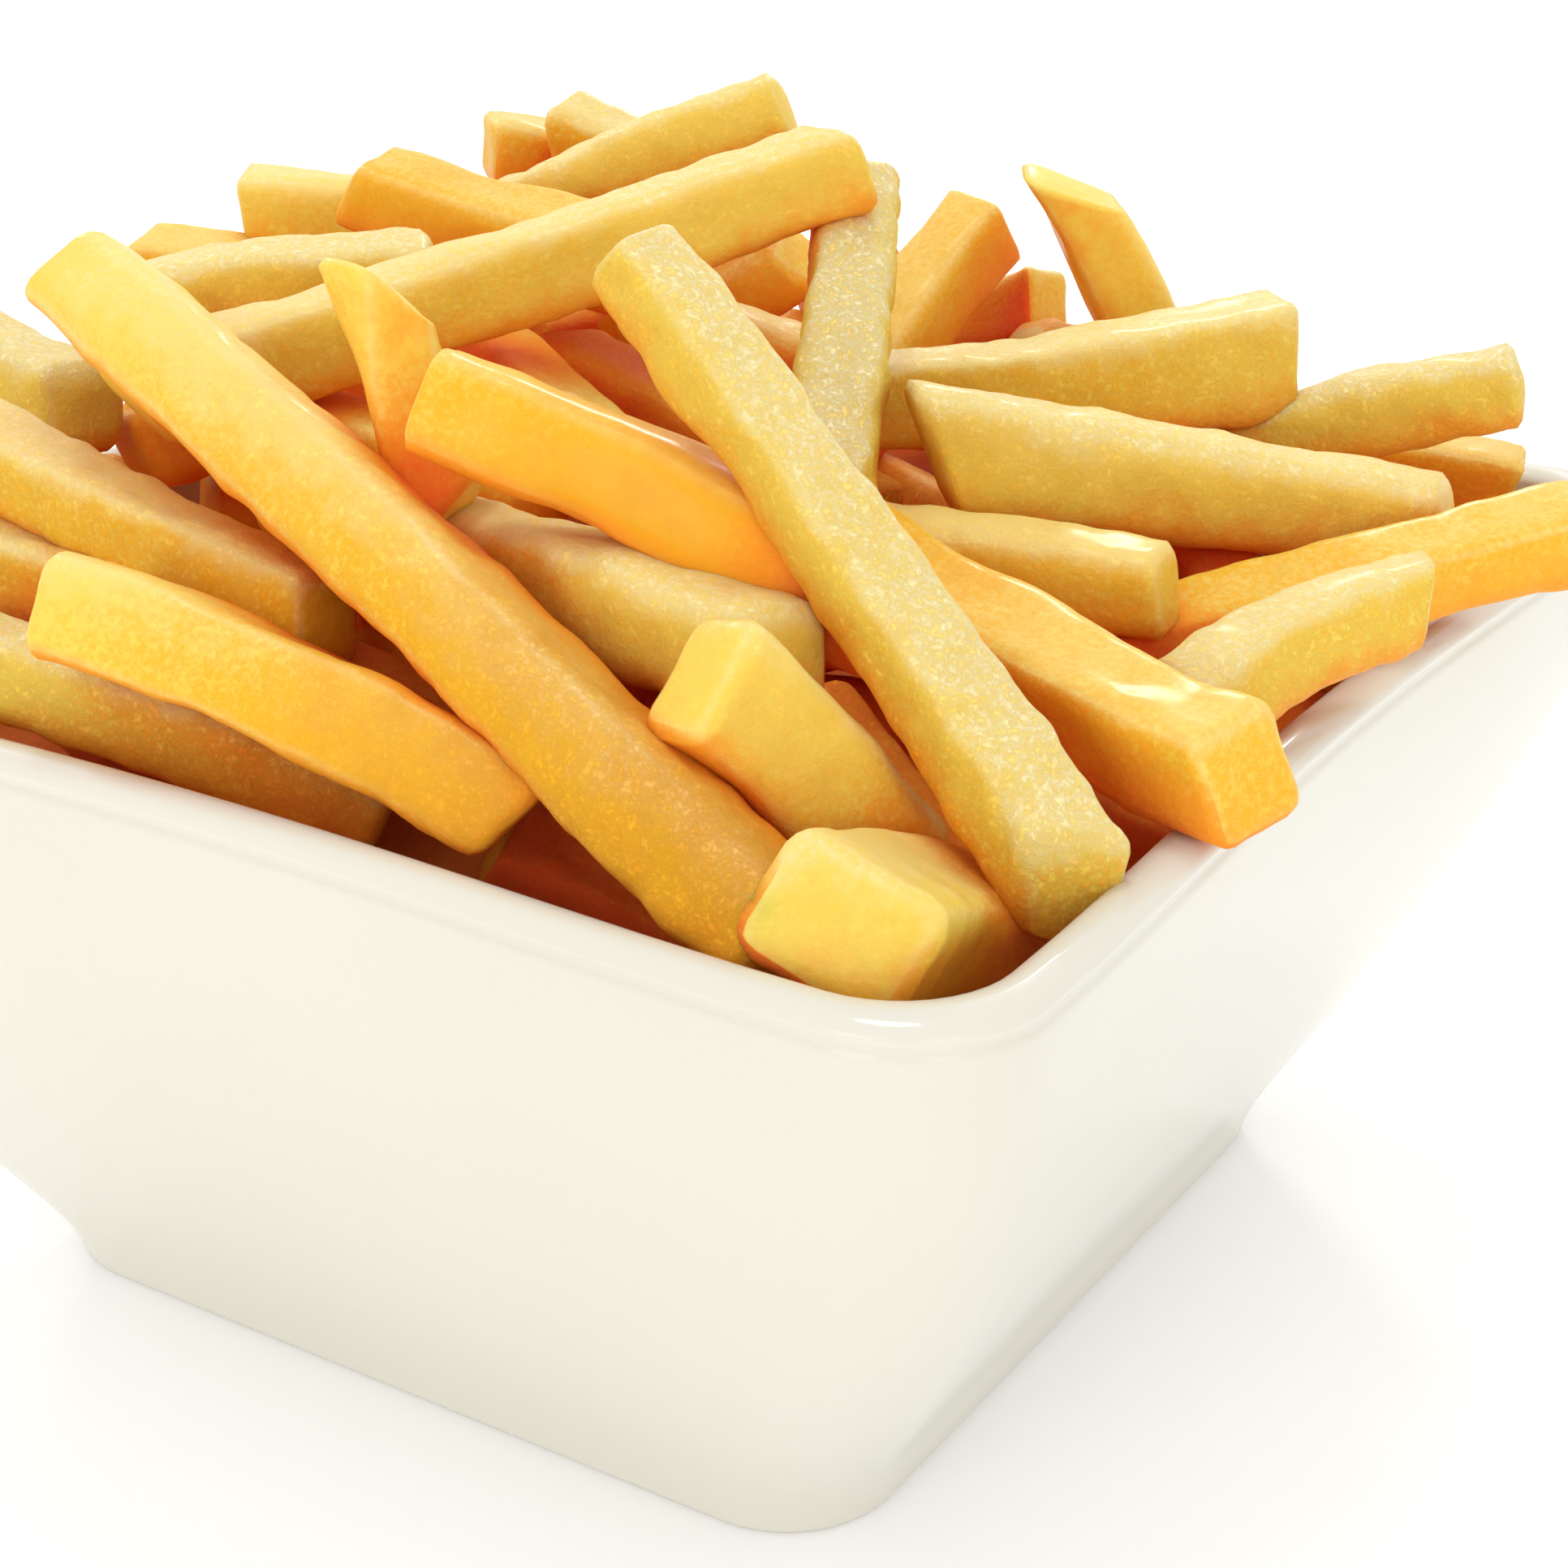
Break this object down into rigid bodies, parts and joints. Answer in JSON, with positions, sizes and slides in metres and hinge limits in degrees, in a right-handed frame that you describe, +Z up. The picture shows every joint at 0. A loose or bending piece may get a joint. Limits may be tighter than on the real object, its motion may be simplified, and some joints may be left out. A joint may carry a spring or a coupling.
{
  "type": "french fries portion",
  "caption": "Portion of thick-cut french fries heaped in a square, flared porcelain serving dish.",
  "frame": {"origin": "middle of the dish's square underside, on the surface that it stands on", "axes": "+Z up; the dish's sides face X and Y; the long fry that rises to the left leans over the -Y side"},
  "size_m": [0.1599, 0.1528, 0.1098],
  "materials": {
    "glaze": "glossy warm white porcelain glaze",
    "fried_potato": "golden fried potato with a thin blistered crust, slightly oily"
  },
  "bodies": {
    "root": {"dish": "glaze", "fries_heap": "fried_potato"}
  },
  "joints": []
}
